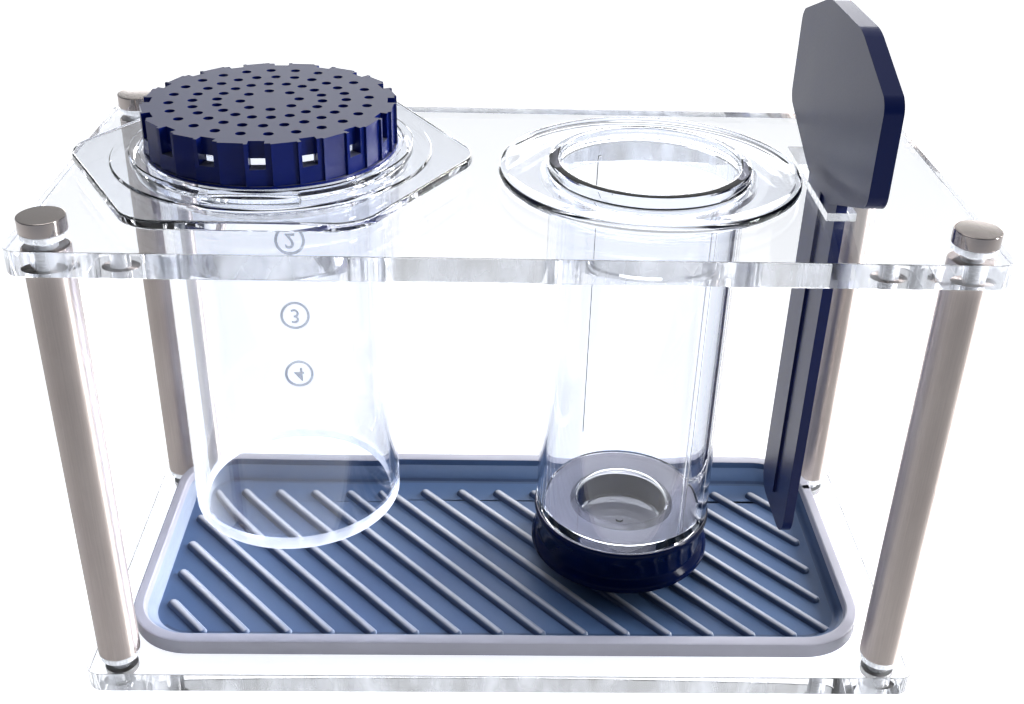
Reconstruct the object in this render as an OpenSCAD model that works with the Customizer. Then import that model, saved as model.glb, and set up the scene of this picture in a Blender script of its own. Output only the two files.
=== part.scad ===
// Storage stand for a hand-pressed coffee maker: two clear plates on four
// steel posts. The brewing chamber hangs mouth down on the left with its
// filter cap on top, the plunger hangs in the middle, the stirrer hangs in a
// slot on the right, and a ribbed drip tray lies on the base plate.
// +Z is up, +X runs along the long side, -Y is the front. The origin is under
// the middle of the stand, on the surface that it stands on.

/* [Plates] */
// Length of both plates, along X
plate_l = 252.4; // [246:0.2:270]
// Depth of both plates, along Y
plate_w = 114; // [112:0.5:130]
// Thickness of each plate
plate_t = 7; // [5:0.5:10]
// Radius of the plates' upright corners
plate_corner_r = 5; // [2:0.5:8]
// Free height between the two plates
plate_gap = 132.7; // [130:0.1:150]

/* [Posts and fasteners] */
// Diameter of each post
post_d = 12.4; // [11:0.1:13]
// Distance from a plate's end to a post's axis
post_inset_x = 8.9; // [8:0.1:10]
// Distance from a plate's front or back edge to a post's axis
post_inset_y = 9.1; // [8:0.1:10]
// Diameter of the threaded studs and of the base screws' shanks
stud_d = 5.8; // [5:0.1:6.4]
// How deep a stud or screw goes into a post
stud_depth = 12; // [8:0.5:20]
// Diameter of the round caps on top
cap_d = 12.2; // [11:0.1:13]
// Height of the round caps
cap_h = 4.1; // [3:0.1:6]
// Thickness of the clear washer under each cap
upper_washer_t = 1.8; // [1:0.1:3]
// Thickness of the clear washer under each post
lower_washer_t = 2; // [1:0.1:3]
// Diameter of a base screw's head
screw_head_d = 10; // [9:0.1:12]
// Height of a base screw's head, which is the stand's foot
foot_h = 2.2; // [1.5:0.1:4]

/* [Chamber] */
// Chamber axis, along X
chamber_x = -67.1; // [-68:0.1:-62]
// Outside diameter of the chamber's tube
chamber_d = 65.6; // [62:0.1:66]
// Wall thickness of the chamber's tube
chamber_wall = 2.6; // [2:0.1:3]
// Height of the chamber's open end above the surface
chamber_end_z = 37.7; // [30:0.1:60]
// Width of the six-sided flange, corner to corner
flange_tip_w = 112.4; // [108:0.2:116]
// Radius of the flange's corners
flange_corner_r = 12; // [8:0.5:14]
// Thickness of the six-sided flange
flange_t = 2.7; // [2:0.1:4]
// Height of the neck ring that the flange stands on
neck_h = 2.8; // [2:0.1:4]

/* [Filter cap] */
// Outside diameter of the filter cap
fcap_d = 70; // [69.6:0.1:70.6]
// Height of the filter cap's skirt
fcap_h = 12.4; // [12:0.1:14]
// Diameter of each filter hole
fhole_d = 2.75; // [2:0.05:3]

/* [Plunger] */
// Plunger axis, along X
plunger_x = 39.6; // [38:0.1:42]
// Outside diameter of the plunger's tube
plunger_d = 56.6; // [54:0.1:57]
// Wall thickness of the plunger's tube
plunger_wall = 2.5; // [2:0.1:3]
// Diameter of the plunger's round flange
pflange_d = 86.4; // [80:0.2:88]
// Diameter of the rubber seal's bottom lip
seal_d = 59; // [58:0.1:60]
// Height of the seal's bottom above the surface
seal_z = 17.6; // [17.6:0.1:24]

/* [Stirrer] */
// Middle of the stirrer, along X
stirrer_x = 89.2; // [88.8:0.1:89.6]
// Middle of the stirrer's blade, along Y
stirrer_y = -7.9; // [-9:0.1:8]
// Width of the stirrer's handle
handle_w = 87; // [70:0.5:90]
// Height of the stirrer's handle
handle_h = 49; // [40:0.5:54]
// Thickness of the stirrer's handle
handle_t = 5; // [4:0.1:6]
// Width of the blade
blade_w = 31.2; // [26:0.2:34]
// Thickness of the blade
blade_t = 3; // [2:0.1:4]
// Height of the blade's end above the surface
blade_end_z = 36; // [30:0.5:60]

/* [Drip tray] */
// Length of the tray
tray_l = 229.4; // [224:0.2:229.4]
// Depth of the tray
tray_w = 101; // [96:0.2:101]
// Radius of the tray's corners
tray_corner_r = 20; // [20:0.5:24]
// Height of the tray's rim above the base plate
tray_h = 7.2; // [6:0.1:7.4]
// Depth of the tray's outer band
tray_band_h = 5.3; // [4:0.1:5.4]
// Distance between the tray's ridges, along X
ridge_pitch = 13.25; // [12:0.25:16]
// Diameter of the round ridges
ridge_d = 3; // [2.4:0.1:3.4]

/* [Hidden] */
$fn = 96;
slack = 0.3;                                   // gap between loose pieces
base_top = foot_h + plate_t;
top_low = base_top + plate_gap;                // underside of the top plate
top_z = top_low + plate_t;                     // upper face of the top plate
post_x = plate_l / 2 - post_inset_x;
post_y = plate_w / 2 - post_inset_y;
post_low = base_top + lower_washer_t;
post_len = top_low - post_low;
stud_hole_d = 6.4;                             // clearance hole in plates
tapped_d = 6;                                  // hole in the posts' ends
cap_low = top_z + upper_washer_t;
chamber_r = chamber_d / 2;
chamber_hole_r = chamber_r + 1.7;
plunger_hole_r = seal_d / 2 + 1.5;
neck_r = 38;
flange_low = top_z + slack + neck_h;
flange_top = flange_low + flange_t;
spigot_r = 29.2;                               // tube end inside the cap
spigot_wall = 2;
fcap_low = flange_top + 2.1;
fcap_top = fcap_low + fcap_h;
fcap_disc_t = 2.6;
spigot_top = fcap_top - fcap_disc_t - 0.6;
fcap_skirt_in = 31;
notches = 16;
notch_w = 4.2;
lug_arc = 30;
hole_rings = [[8, 8, 10], [14.5, 18, 0], [21, 24, 4], [27.3, 24, 8]];
plunger_r = plunger_d / 2;
pflange_low = top_z + slack;
pfloor_z = seal_z + 18;                        // top of the tube's floor
hub_r = 17;
well_r = 14.8;
seal_r = seal_d / 2;
slot_l = 51.2;
slot_w = 8;
slot_x = 89.1;
handle_low = top_z + slack;
tray_x = -1.5;
tray_top = base_top + tray_h;
tray_band_low = tray_top - tray_band_h;
tray_under = base_top + slack;
tray_floor = tray_under + 1;
ridge_k = 0.9;                                 // ridge slant, X for each Y
ridge_h = 1.6;
ridge_back = 33;
ridge_front = -40;
ridge_left = -tray_l / 2 + 10.7;
ridge_right = tray_l / 2 - 10.7;

module at_posts() {
    for (sx = [-1, 1], sy = [-1, 1])
        translate([sx * post_x, sy * post_y, 0]) children();
}

// A flat rectangle with round corners, made of exact shapes
module round_rect(l, w, r) {
    square([l - 2 * r, w], center = true);
    square([l, w - 2 * r], center = true);
    for (sx = [-1, 1], sy = [-1, 1])
        translate([sx * (l / 2 - r), sy * (w / 2 - r)]) circle(r = r);
}

// A six-sided plate with round corners, tips along X
module round_hexagon(tip_w, r) {
    rc = tip_w / 2 - r;
    circle(r = rc, $fn = 6);
    for (a = [0 : 60 : 300]) {
        rotate(a) translate([rc, 0]) circle(r = r);
        rotate(a + 30) translate([0, -rc / 2])
            square([rc * cos(30) + r, rc]);
    }
}

module ring(ro, ri, h) {
    difference() {
        cylinder(r = ro, h = h);
        translate([0, 0, -1]) cylinder(r = ri, h = h + 2);
    }
}

// Part of a ring, from angle a0 to a1
module ring_arc(ro, ri, h, a0, a1) {
    rotate([0, 0, a0]) rotate_extrude(angle = a1 - a0)
        translate([ri, 0]) square([ro - ri, h]);
}

module base_plate() {
    color([0.9, 0.95, 0.98, 0.35]) difference() {
        translate([0, 0, foot_h]) linear_extrude(plate_t)
            round_rect(plate_l, plate_w, plate_corner_r);
        at_posts() translate([0, 0, foot_h - 1])
            cylinder(d = stud_hole_d, h = plate_t + 2, $fn = 48);
    }
}

module top_plate() {
    color([0.9, 0.95, 0.98, 0.35]) difference() {
        translate([0, 0, top_low]) linear_extrude(plate_t)
            round_rect(plate_l, plate_w, plate_corner_r);
        translate([0, 0, top_low - 1]) {
            at_posts() cylinder(d = stud_hole_d, h = plate_t + 2, $fn = 48);
            translate([chamber_x, 0, 0])
                cylinder(r = chamber_hole_r, h = plate_t + 2);
            translate([plunger_x, 0, 0])
                cylinder(r = plunger_hole_r, h = plate_t + 2);
            translate([slot_x - slot_w / 2, -slot_l / 2, 0])
                cube([slot_w, slot_l, plate_t + 2]);
        }
    }
}

// A solid round post with a tapped hole in each end
module post(sx, sy) {
    color("silver") translate([sx * post_x, sy * post_y, post_low])
        difference() {
            cylinder(d = post_d, h = post_len);
            translate([0, 0, -1]) cylinder(d = tapped_d, h = stud_depth + 2,
                $fn = 48);
            translate([0, 0, post_len - stud_depth - 1])
                cylinder(d = tapped_d, h = stud_depth + 2, $fn = 48);
        }
}

module post_front_left() { post(-1, -1); }
module post_front_right() { post(1, -1); }
module post_back_left() { post(-1, 1); }
module post_back_right() { post(1, 1); }

// A round cap with a small bevel, tapped from below for its stud
module cap(sx, sy) {
    color("gainsboro") translate([sx * post_x, sy * post_y, cap_low])
        rotate_extrude() polygon([
            [tapped_d / 2, 0], [cap_d / 2 - 0.25, 0], [cap_d / 2, 0.25],
            [cap_d / 2, cap_h - 0.35], [cap_d / 2 - 0.35, cap_h], [0, cap_h],
            [0, cap_h - 1.4], [tapped_d / 2, cap_h - 1.4]]);
}

module cap_front_left() { cap(-1, -1); }
module cap_front_right() { cap(1, -1); }
module cap_back_left() { cap(-1, 1); }
module cap_back_right() { cap(1, 1); }

// Threaded studs that run from each cap down into its post
module cap_studs() {
    color("gray") at_posts()
        translate([0, 0, top_low - stud_depth + 0.5])
            cylinder(d = stud_d, h = cap_low + cap_h - 1.6
                - (top_low - stud_depth + 0.5), $fn = 48);
}

module upper_washers() {
    color([0.92, 0.96, 1, 0.5]) at_posts() translate([0, 0, top_z])
        ring(5.9, stud_hole_d / 2, upper_washer_t);
}

module lower_washers() {
    color([0.92, 0.96, 1, 0.5]) at_posts() translate([0, 0, base_top])
        ring(6.1, stud_hole_d / 2, lower_washer_t);
}

// Low-headed screws with a six-sided socket, up through the base plate
module base_screws() {
    color("dimgray") at_posts() difference() {
        union() {
            rotate_extrude() polygon([[0, 0], [screw_head_d / 2 - 0.4, 0],
                [screw_head_d / 2, 0.4], [screw_head_d / 2, foot_h],
                [0, foot_h]]);
            cylinder(d = stud_d, h = post_low + stud_depth - 0.5, $fn = 48);
        }
        translate([0, 0, -1]) cylinder(r = 2.3, h = 2.5, $fn = 6);
    }
}

// Clear chamber, mouth down: tube, neck ring, flange, collar and spigot
module chamber() {
    color([0.88, 0.93, 0.97, 0.4]) translate([chamber_x, 0, 0])
        difference() {
            union() {
                translate([0, 0, chamber_end_z])
                    cylinder(r = chamber_r, h = flange_low - chamber_end_z);
                translate([0, 0, top_z + slack])
                    cylinder(r = neck_r, h = neck_h + 0.5);
                translate([0, 0, flange_low]) linear_extrude(flange_t)
                    round_hexagon(flange_tip_w, flange_corner_r);
                translate([0, 0, flange_top - 0.5])
                    cylinder(r = 44.6, h = 1.3);
                translate([0, 0, flange_top]) ring(39.3, 36.4, 3);
                // stop tab in front of the cap
                translate([-13, -41.4, flange_top])
                    cube([26, 3.6, 3.4]);
                translate([0, 0, flange_top - 1])
                    cylinder(r = spigot_r, h = spigot_top - flange_top + 1);
                // four bayonet lugs
                for (a = [30 : 90 : 300])
                    translate([0, 0, fcap_low + 2.2])
                        ring_arc(spigot_r + 1.4, spigot_r - 0.5, 2,
                            a, a + lug_arc);
            }
            translate([0, 0, chamber_end_z - 1])
                cylinder(r = chamber_r - chamber_wall,
                    h = flange_low - chamber_end_z + 1);
            translate([0, 0, flange_low - 2])
                cylinder(r = spigot_r - spigot_wall, h = 30);
        }
}

// Twist-on cap: drilled disc, notched skirt with windows, four inner lugs
module filter_cap() {
    color([0.2, 0.21, 0.27]) translate([chamber_x, 0, 0]) {
        difference() {
            translate([0, 0, fcap_low]) cylinder(d = fcap_d, h = fcap_h);
            translate([0, 0, fcap_low - 1])
                cylinder(r = fcap_skirt_in, h = fcap_h - fcap_disc_t + 1);
            for (i = [0 : notches - 1])
                rotate([0, 0, -87.2 + i * 360 / notches])
                    translate([fcap_d / 2 - 2.6, -notch_w / 2, 0]) {
                        translate([0, 0, fcap_top - 7])
                            cube([4, notch_w, 8]);
                        translate([-3, 0, fcap_top - 7])
                            cube([6, notch_w, 2.3]);
                    }
            for (r = hole_rings, i = [0 : r[1] - 1])
                rotate([0, 0, r[2] + i * 360 / r[1]])
                    translate([r[0], 0, fcap_top - fcap_disc_t - 1])
                        cylinder(d = fhole_d, h = fcap_disc_t + 2, $fn = 16);
        }
        for (a = [30 : 90 : 300]) translate([0, 0, fcap_low])
            ring_arc(fcap_skirt_in + 0.5, 29.6, 1.9, a, a + lug_arc);
    }
}

module paper_filter() {
    color("ivory") translate([chamber_x, 0, spigot_top + 0.2])
        cylinder(r = 30.6, h = 0.35);
}

// Clear plunger: flange with raised collar, tube, floor and centre well
module plunger() {
    zc = pflange_low;
    color([0.88, 0.93, 0.97, 0.4]) translate([plunger_x, 0, 0])
        rotate_extrude() {
            // flange and collar
            polygon([[plunger_r - plunger_wall, zc - 2],
                [plunger_r - 0.2, zc - 2], [plunger_r - 0.2, zc],
                [pflange_d / 2 - 0.8, zc], [pflange_d / 2, zc + 0.8],
                [pflange_d / 2, zc + 1.8], [pflange_d / 2 - 0.9, zc + 2.5],
                [plunger_r + 3, zc + 1.6], [plunger_r + 0.6, zc + 1.6],
                [plunger_r + 0.6, zc + 4], [plunger_r, zc + 4.6],
                [plunger_r - plunger_wall + 0.5, zc + 4.6],
                [plunger_r - plunger_wall, zc + 4]]);
            // tube
            translate([plunger_r - plunger_wall, pfloor_z - 2.5])
                square([plunger_wall, zc - pfloor_z + 2.5]);
            // floor, hub and well
            polygon([[0, seal_z + 5], [hub_r - 0.05, seal_z + 5],
                [hub_r - 0.05, pfloor_z - 2.5],
                [plunger_r - plunger_wall + 0.1, pfloor_z - 2.5],
                [plunger_r - plunger_wall + 0.1, pfloor_z], [well_r, pfloor_z],
                [well_r - 0.6, pfloor_z - 10], [0, pfloor_z - 10]]);
        }
}

// Rubber seal: a cup with two lips, pressed over the plunger's hub
module plunger_seal() {
    z1 = pfloor_z - 2.6;
    color([0.08, 0.09, 0.14]) translate([plunger_x, 0, 0])
        rotate_extrude() polygon([
            [0, seal_z + 1.2], [hub_r - 3, seal_z + 1.2], [hub_r, seal_z],
            [seal_r - 1, seal_z], [seal_r, seal_z + 0.8],
            [seal_r - 0.2, seal_z + 3.2], [seal_r - 1.3, seal_z + 5],
            [seal_r - 1.3, z1 - 4], [seal_r - 0.6, z1 - 2],
            [seal_r - 0.8, z1], [hub_r, z1], [hub_r, seal_z + 4.9],
            [0, seal_z + 4.9]]);
}

// One-piece stirrer: an eight-sided handle and a flat ribbed blade
module stirrer() {
    hz = handle_low;
    w = handle_w / 2;
    color([0.17, 0.2, 0.27]) {
        translate([stirrer_x - handle_t / 2, stirrer_y, 0])
            rotate([90, 0, 90]) linear_extrude(handle_t) polygon([
                [-12, hz], [12, hz], [w, hz + 12], [w, hz + handle_h - 10],
                [16, hz + handle_h], [-16, hz + handle_h],
                [-w, hz + handle_h - 10], [-w, hz + 12]]);
        translate([stirrer_x + 0.3 - blade_t / 2, stirrer_y - blade_w / 2,
            blade_end_z]) cube([blade_t, blade_w, hz + 5 - blade_end_z]);
        translate([stirrer_x + 0.3 - blade_t / 2 - 0.8, stirrer_y - 1.5,
            blade_end_z + 8]) cube([blade_t + 1.6, 3, hz - blade_end_z - 4]);
    }
}

// Soft ribbed tray: outer band, raised underside, floor and slanted ridges
module drip_tray() {
    floor_l = tray_l - 11;
    floor_w = tray_w - 18;
    ridge_side = ceil(tray_l / 2 / ridge_pitch) + 2;
    color([0.48, 0.49, 0.57]) translate([tray_x, 0, 0]) {
        difference() {
            union() {
                translate([0, 0, tray_band_low]) linear_extrude(tray_band_h)
                    round_rect(tray_l, tray_w, tray_corner_r);
                translate([0, 0, tray_under])
                    linear_extrude(tray_band_low - tray_under + 1)
                        round_rect(tray_l - 9, tray_w - 9, tray_corner_r - 4);
            }
            translate([0, 0, tray_floor]) linear_extrude(tray_h)
                round_rect(floor_l, floor_w, tray_corner_r - 8);
            translate([0, 0, tray_floor + 3.4]) linear_extrude(tray_h)
                round_rect(tray_l - 7, tray_w - 8, tray_corner_r - 4);
        }
        for (i = [-ridge_side : ridge_side]) ridge(3.8 + i * ridge_pitch);
    }
}

// One slanted ridge: its line is x = xm - ridge_k * y, cut to the floor
module ridge(xm) {
    y_hi = min(ridge_back, (xm - ridge_left) / ridge_k);
    y_lo = max(ridge_front, (xm - ridge_right) / ridge_k);
    run = (y_hi - y_lo) * sqrt(1 + ridge_k * ridge_k);
    if (y_hi - y_lo > 6)
        translate([xm - ridge_k * y_hi, y_hi, tray_floor - 0.5])
            rotate([0, 0, -90 + atan(ridge_k)]) linear_extrude(ridge_h + 0.5) {
                circle(d = ridge_d, $fn = 24);
                translate([0, -ridge_d / 2]) square([run, ridge_d]);
                translate([run, 0]) circle(d = ridge_d, $fn = 24);
            }
}

base_plate();
top_plate();
post_front_left();
post_front_right();
post_back_left();
post_back_right();
cap_front_left();
cap_front_right();
cap_back_left();
cap_back_right();
cap_studs();
upper_washers();
lower_washers();
base_screws();
chamber();
filter_cap();
paper_filter();
plunger();
plunger_seal();
stirrer();
drip_tray();
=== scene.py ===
import math

import bpy
from mathutils import Matrix, Vector


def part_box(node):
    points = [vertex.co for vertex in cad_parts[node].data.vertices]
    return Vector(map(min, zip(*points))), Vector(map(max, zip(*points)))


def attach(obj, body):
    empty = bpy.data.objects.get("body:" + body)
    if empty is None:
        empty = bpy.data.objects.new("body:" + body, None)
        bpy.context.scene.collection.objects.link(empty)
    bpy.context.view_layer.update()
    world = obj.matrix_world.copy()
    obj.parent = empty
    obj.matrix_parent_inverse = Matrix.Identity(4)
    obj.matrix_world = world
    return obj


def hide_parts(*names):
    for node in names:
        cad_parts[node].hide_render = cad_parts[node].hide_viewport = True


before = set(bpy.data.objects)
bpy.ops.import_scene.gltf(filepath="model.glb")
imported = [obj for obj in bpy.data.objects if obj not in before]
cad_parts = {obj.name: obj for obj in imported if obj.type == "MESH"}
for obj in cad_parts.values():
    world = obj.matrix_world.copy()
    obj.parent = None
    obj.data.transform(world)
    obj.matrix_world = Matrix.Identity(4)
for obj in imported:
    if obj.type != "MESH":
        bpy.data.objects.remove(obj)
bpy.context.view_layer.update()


# ---------------------------------------------------------------- studio
# A pale matt table top, soft lamps, and a camera in front of the stand, a
# little above it. The table runs on far behind, so it is the backdrop too.
# Its glow fades in front and far out at the sides, as a real room darkens.
class Wire:
    """One value, colour or vector of a finish; sums on wires add nodes."""

    def __init__(self, tree, socket=None):
        self.tree, self.socket = tree, socket

    def node(self, kind, settings=None, sockets=None, out=0):
        made = self.tree.nodes.new("ShaderNode" + kind)
        for key, value in (settings or {}).items():
            if key == "stops":
                stops = made.color_ramp.elements
                for place, shade in value[1:-1]:
                    stops.new(place).color = shade
                for end, (place, shade) in ((0, value[0]), (-1, value[-1])):
                    stops[end].position, stops[end].color = place, shade
            else:
                setattr(made, key, value)
        for key, value in (sockets or {}).items():
            if isinstance(value, Wire):
                self.tree.links.new(value.socket, made.inputs[key])
            else:
                made.inputs[key].default_value = value
        return Wire(self.tree, made.outputs[out] if made.outputs else None)

    def maths(self, operation, first, second):
        return self.node("Math", {"operation": operation},
                         {0: first, 1: second})

    def __add__(self, other):
        return self.maths("ADD", self, other)

    def __sub__(self, other):
        return self.maths("SUBTRACT", self, other)

    def __rsub__(self, other):
        return self.maths("SUBTRACT", other, self)

    def __mul__(self, other):
        return self.maths("MULTIPLY", self, other)

    __radd__, __rmul__ = __add__, __mul__

    def blend(self, first, second):
        """Two colours mixed by this value."""
        return self.node("Mix", {"data_type": "RGBA"},
                         {0: self, 6: first, 7: second}, 2)

    def noise(self, scale, detail=2.0, stretch=(1, 1, 1)):
        """Cloudy value, fixed to the piece; scale is per metre."""
        place = self.node("TexCoord", out="Object")
        place = self.node("Mapping", None, {"Vector": place,
                                            "Scale": stretch})
        return self.node("TexNoise", None, {"Vector": place, "Scale": scale,
                                            "Detail": detail}, "Fac")


def open_finish(name):
    made = bpy.data.materials.new(name)
    made.use_nodes = True
    made.node_tree.nodes.clear()
    return made, Wire(made.node_tree)


def close_finish(made, shader):
    shader.node("OutputMaterial", None, {"Surface": shader})
    return made


def grey(level, tint=(1, 1, 1)):
    return tuple(level * part for part in tint) + (1,)


bpy.ops.object.select_all(action="DESELECT")
bpy.ops.mesh.primitive_plane_add(size=12, location=(0, 2, 0))
table_top = bpy.context.object
bpy.ops.object.transform_apply()
table_top.name = "table_top"
made, pen = open_finish("matt_white_table")
cloud = pen.noise(9)
table_white = cloud.blend(grey(0.90, (0.99, 1, 1)), grey(0.93))
place = pen.node("TexCoord", out="Object")
depth = pen.node("SeparateXYZ", None, {"Vector": place}, "Y")
aside = pen.node("SeparateXYZ", None, {"Vector": place}, "X")
lit_half_width = 0.5
aside = aside.maths("ABSOLUTE", aside, 0.0) - lit_half_width
aside = aside.maths("MAXIMUM", aside, 0.0)
glow = pen.node("ValToRGB", {"stops": [
    (0.0, grey(0.36, (0.88, 0.94, 1.06))), (0.4, grey(0.6)),
    (0.85, grey(0.91)), (1.0, grey(0.95))]},
    {"Fac": depth.maths("MINIMUM", depth * 2 + 1, 1.0) - aside * 0.4})
table_top.data.materials.append(close_finish(made, pen.node(
    "BsdfPrincipled", None, {
        "Base Color": table_white, "Roughness": cloud * 0.1 + 0.7,
        "Specular IOR Level": 0.1, "Emission Color": glow,
        "Emission Strength": 0.92})))

# the lamps leave the table alone: its own even glow keeps it plain
spared = bpy.data.collections.new("spared_by_the_lamps")
spared.objects.link(table_top)
spared.collection_objects[0].light_linking.link_state = "EXCLUDE"

world = bpy.data.worlds.new("soft_room")
bpy.context.scene.world = world
world.use_nodes = True
world.node_tree.nodes.clear()
pen = Wire(world.node_tree)
aim = pen.node("TexCoord", out="Generated")
window_way = (0.55, 0.66, 0.25)
side = pen.node("VectorMath", {"operation": "DOT_PRODUCT"},
                {0: aim, 1: window_way}, "Value")
room = pen.node("ValToRGB", {"stops": [
    (0.0, grey(0.05, (0.6, 0.8, 1.3))),
    (0.42, grey(0.14, (0.75, 0.9, 1.2))),
    (0.62, grey(0.7, (0.95, 1, 1.05))), (1.0, grey(1.1))]},
    {"Fac": side * 0.5 + 0.5})
pen.node("OutputWorld", None, {"Surface": pen.node(
    "Background", None, {"Color": room, "Strength": 0.62})})


def lamp(name, place, aimed_at, width, depth, watts, colour=(1, 1, 1)):
    light = bpy.data.lights.new(name, "AREA")
    light.shape, light.size, light.size_y = "RECTANGLE", width, depth
    light.energy, light.color = watts, colour
    holder = bpy.data.objects.new(name, light)
    turn = (Vector(aimed_at) - Vector(place)).to_track_quat("-Z", "Y")
    holder.matrix_world = Matrix.LocRotScale(Vector(place), turn, None)
    holder.visible_camera = False
    holder.light_linking.receiver_collection = spared
    bpy.context.scene.collection.objects.link(holder)


lamp("window_lamp", (0.95, 0.45, 0.42), (0, 0, 0.03), 0.3, 0.5, 20,
     (1, 0.99, 0.97))
lamp("back_lamp", (0.15, 1.0, 0.28), (0, 0, 0.02), 1.2, 0.3, 7)
lamp("top_lamp", (-0.1, 0.35, 1.1), (0, 0, 0.05), 0.7, 0.4, 3)
lamp("side_lamp", (0.85, -0.22, 0.34), (0, 0, 0.1), 0.12, 0.6, 7)

camera = bpy.data.objects.new("camera", bpy.data.cameras.new("camera"))
camera.data.sensor_width, camera.data.lens = 36, 42.90
camera.data.clip_start = 0.01
camera.matrix_world = (
    Matrix.Translation((-0.00814, -0.32823, 0.27871))
    @ Matrix.Rotation(math.radians(-1.73), 4, "Z")
    @ Matrix.Rotation(math.radians(60.08), 4, "X")
    @ Matrix.Rotation(math.radians(1.57), 4, "Z"))
bpy.context.scene.collection.objects.link(camera)
bpy.context.scene.camera = camera
bpy.context.scene.view_settings.view_transform = "Standard"

# light runs to and fro inside the clear sheets before it gets out
bpy.context.scene.cycles.glossy_bounces = 9


# ------------------------------------------------------------ base plate
# Clear cast acrylic sheet, 7 mm thick, cut to size with flame-polished
# edges and round corners; one hole near each corner takes a post's screw.
MM = 0.001


def take(piece):
    """Makes this piece the only selected one."""
    if bpy.context.object and bpy.context.object.mode == "EDIT":
        bpy.ops.object.mode_set(mode="OBJECT")
    bpy.ops.object.select_all(action="DESELECT")
    piece.select_set(True)
    bpy.context.view_layer.objects.active = piece


def stacked(name, middle, rings, steps=10):
    """A solid whose level sections are rectangles with round corners.

    rings: half length, half depth, corner radius and height of each
    section, in mm, from the first end to the last, both closed.
    """
    def corner_points(ring):
        half_l, half_w, corner_r, height = ring
        for quarter, (sx, sy) in enumerate(((1, 1), (-1, 1), (-1, -1),
                                            (1, -1))):
            for step in range(steps + 1):
                turn = math.radians(90 * (quarter + step / steps))
                yield Vector((
                    middle[0] + sx * (half_l - corner_r)
                    + corner_r * math.cos(turn),
                    middle[1] + sy * (half_w - corner_r)
                    + corner_r * math.sin(turn), height)) * MM

    bpy.ops.object.select_all(action="DESELECT")
    bpy.ops.mesh.primitive_circle_add(vertices=4 * (steps + 1), radius=0.01,
                                      fill_type="NGON")
    piece = bpy.context.object
    piece.name = piece.data.name = name
    for spot, place in zip(piece.data.vertices, corner_points(rings[0])):
        spot.co = place
    for ring in rings[1:]:
        bpy.ops.object.mode_set(mode="EDIT")
        bpy.ops.mesh.extrude_region()
        bpy.ops.object.mode_set(mode="OBJECT")
        raised = [spot for spot in piece.data.vertices if spot.select]
        for spot, place in zip(raised, corner_points(ring)):
            spot.co = place
    bpy.ops.object.mode_set(mode="EDIT")
    bpy.ops.mesh.select_all(action="SELECT")
    bpy.ops.mesh.normals_make_consistent(inside=False)
    bpy.ops.object.mode_set(mode="OBJECT")
    return piece


def drill(name, x, y, low, high, radius, sides=48):
    """A cutter for a round hole, in mm."""
    bpy.ops.object.select_all(action="DESELECT")
    bpy.ops.mesh.primitive_cylinder_add(
        vertices=sides, radius=radius * MM, depth=(high - low) * MM,
        location=(x * MM, y * MM, (high + low) / 2 * MM))
    cutter = bpy.context.object
    cutter.name = name
    return cutter


def gather(first, *others):
    """Joins objects into one mesh."""
    take(first)
    for other in others:
        other.select_set(True)
    bpy.ops.object.join()
    return first


def carve(piece, cutter, how="DIFFERENCE"):
    """Cuts the cutter out of the piece, or welds it on with UNION."""
    take(piece)
    bpy.ops.object.transform_apply()
    change = piece.modifiers.new("change", "BOOLEAN")
    change.operation, change.solver, change.object = how, "EXACT", cutter
    bpy.ops.object.modifier_apply(modifier="change")
    bpy.data.objects.remove(cutter)


def soften(piece, width, segments=3, angle=40):
    """Rounds the edges sharper than the angle."""
    take(piece)
    edge = piece.modifiers.new("edge", "BEVEL")
    edge.width, edge.segments = width * MM, segments
    edge.limit_method, edge.angle_limit = "ANGLE", math.radians(angle)
    edge.use_clamp_overlap = True
    bpy.ops.object.modifier_apply(modifier="edge")


def settle(piece, body, slot, finish, *nodes, smooth=33, weigh=True):
    """Gives a finished piece its shading, finish and body, and hides the CAD
    nodes it stands in for.
    """
    take(piece)
    bpy.ops.object.transform_apply()
    bpy.ops.object.shade_smooth_by_angle(angle=math.radians(smooth))
    if weigh:
        piece.modifiers.new("shading", "WEIGHTED_NORMAL").keep_sharp = True
        bpy.ops.object.modifier_apply(modifier="shading")
    piece.data.materials.clear()
    piece.data.materials.append(finish)
    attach(piece, body)
    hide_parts(*nodes)


def clear_finish(name, tint, cloudy, waviness, grain, painted_glow_colour=None,
                 painted_glow_share=0.5):
    """Clear plastic: it bends what is seen through it and lets lamps by.
    painted_glow_colour is the colour of a painted glow in streaks, with its
    own emission, standing in for light caught inside."""
    made, pen = open_finish(name)
    cloud = pen.noise(grain, 3)
    shade = cloud.blend(grey(1, tint), grey(0.985, tint))
    waves = pen.node("Bump", None, {"Height": pen.noise(grain * 0.3),
                                    "Strength": waviness,
                                    "Distance": 0.0004})
    body = pen.node("BsdfPrincipled", None, {
        "Base Color": shade, "Roughness": cloud * cloudy, "IOR": 1.49,
        "Transmission Weight": 1.0, "Normal": waves})
    # painted glow: a pale shader with its own emission, mixed in by streaks
    if painted_glow_colour:
        streaks = pen.noise(grain * 2, 2, (1, 1, 0.4))
        body = pen.node("MixShader", None, {
            0: (streaks - 0.5) * 1.4 + painted_glow_share, 1: body,
            2: pen.node("BsdfPrincipled", None, {
                "Base Color": streaks.blend(grey(0.75, painted_glow_colour), grey(1, painted_glow_colour)),
                "Emission Color": streaks.blend(grey(0.5, painted_glow_colour),
                                                grey(1, painted_glow_colour)),
                "Emission Strength": 0.5,
                "Roughness": streaks * 0.2 + 0.15})})
    lamps = pen.node("LightPath", out="Is Shadow Ray")
    return close_finish(made, pen.node("MixShader", None, {
        0: lamps, 1: body,
        2: pen.node("BsdfTransparent", None, {"Color": grey(0.99, tint)})}))


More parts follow.
